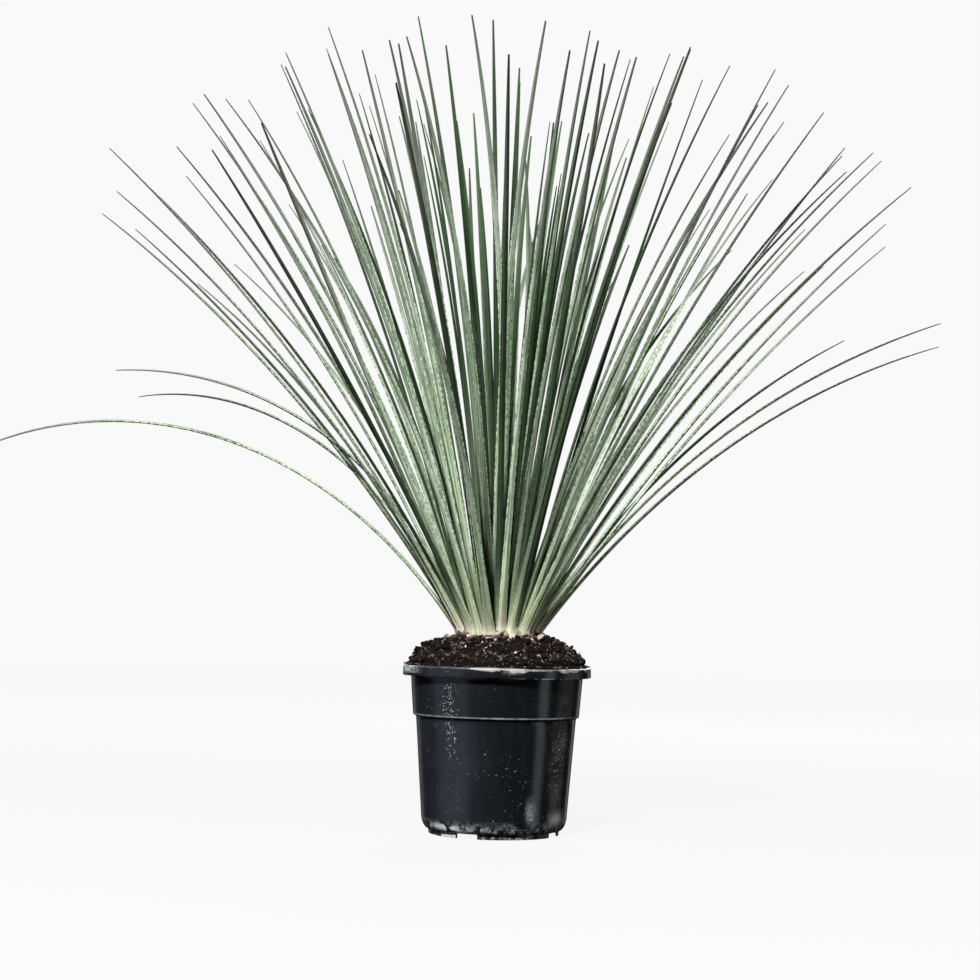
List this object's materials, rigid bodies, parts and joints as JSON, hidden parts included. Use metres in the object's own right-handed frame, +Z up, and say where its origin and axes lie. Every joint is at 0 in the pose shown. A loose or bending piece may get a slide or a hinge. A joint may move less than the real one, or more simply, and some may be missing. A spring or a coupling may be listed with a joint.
{
  "type": "potted sotol plant",
  "caption": "Young sotol with a fan-like rosette of long, narrow grey-green leaves on a short stem, in a black plastic nursery pot heaped with potting soil.",
  "frame": {"origin": "centre of the pot's underside, on the surface that the pot stands on", "axes": "+Z up along the pot's axis, -Y towards the front, +X to the right; a long leaf that has sunk arches out to -X"},
  "size_m": [1.0156, 0.8104, 0.7898],
  "materials": {
    "pot_plastic": "satin black moulded plastic, scuffed, with dried splashes of lime and soil",
    "soil": "crumbly dark peat with bark chips and a few grains of perlite",
    "crown": "short fibrous stem, dull and ringed with leaf bases",
    "leaf": "waxy grey-green blade, finely ribbed along its length, cream at the base and brown at the tip"
  },
  "bodies": {
    "root": {"pot": "pot_plastic", "potting_soil": "soil", "crown": "crown", "leaf_01": "leaf", "leaf_02": "leaf", "leaf_03": "leaf", "leaf_04": "leaf", "leaf_05": "leaf", "leaf_06": "leaf", "leaf_07": "leaf", "leaf_08": "leaf", "leaf_09": "leaf", "leaf_10": "leaf", "leaf_11": "leaf", "leaf_12": "leaf", "leaf_13": "leaf", "leaf_14": "leaf", "leaf_15": "leaf", "leaf_16": "leaf", "leaf_17": "leaf", "leaf_18": "leaf", "leaf_19": "leaf", "leaf_20": "leaf", "leaf_21": "leaf", "leaf_22": "leaf", "leaf_23": "leaf", "leaf_24": "leaf", "leaf_25": "leaf", "leaf_26": "leaf", "leaf_27": "leaf", "leaf_28": "leaf", "leaf_29": "leaf", "leaf_30": "leaf", "leaf_31": "leaf", "leaf_32": "leaf", "leaf_33": "leaf", "leaf_34": "leaf", "leaf_35": "leaf", "leaf_36": "leaf", "leaf_37": "leaf", "leaf_38": "leaf", "leaf_39": "leaf", "leaf_40": "leaf", "leaf_41": "leaf", "leaf_42": "leaf", "leaf_43": "leaf", "leaf_44": "leaf", "leaf_45": "leaf", "leaf_46": "leaf", "leaf_47": "leaf", "leaf_48": "leaf", "leaf_49": "leaf", "leaf_50": "leaf", "leaf_51": "leaf", "leaf_52": "leaf", "leaf_53": "leaf", "leaf_54": "leaf", "leaf_55": "leaf", "leaf_56": "leaf", "leaf_57": "leaf"}
  },
  "joints": []
}
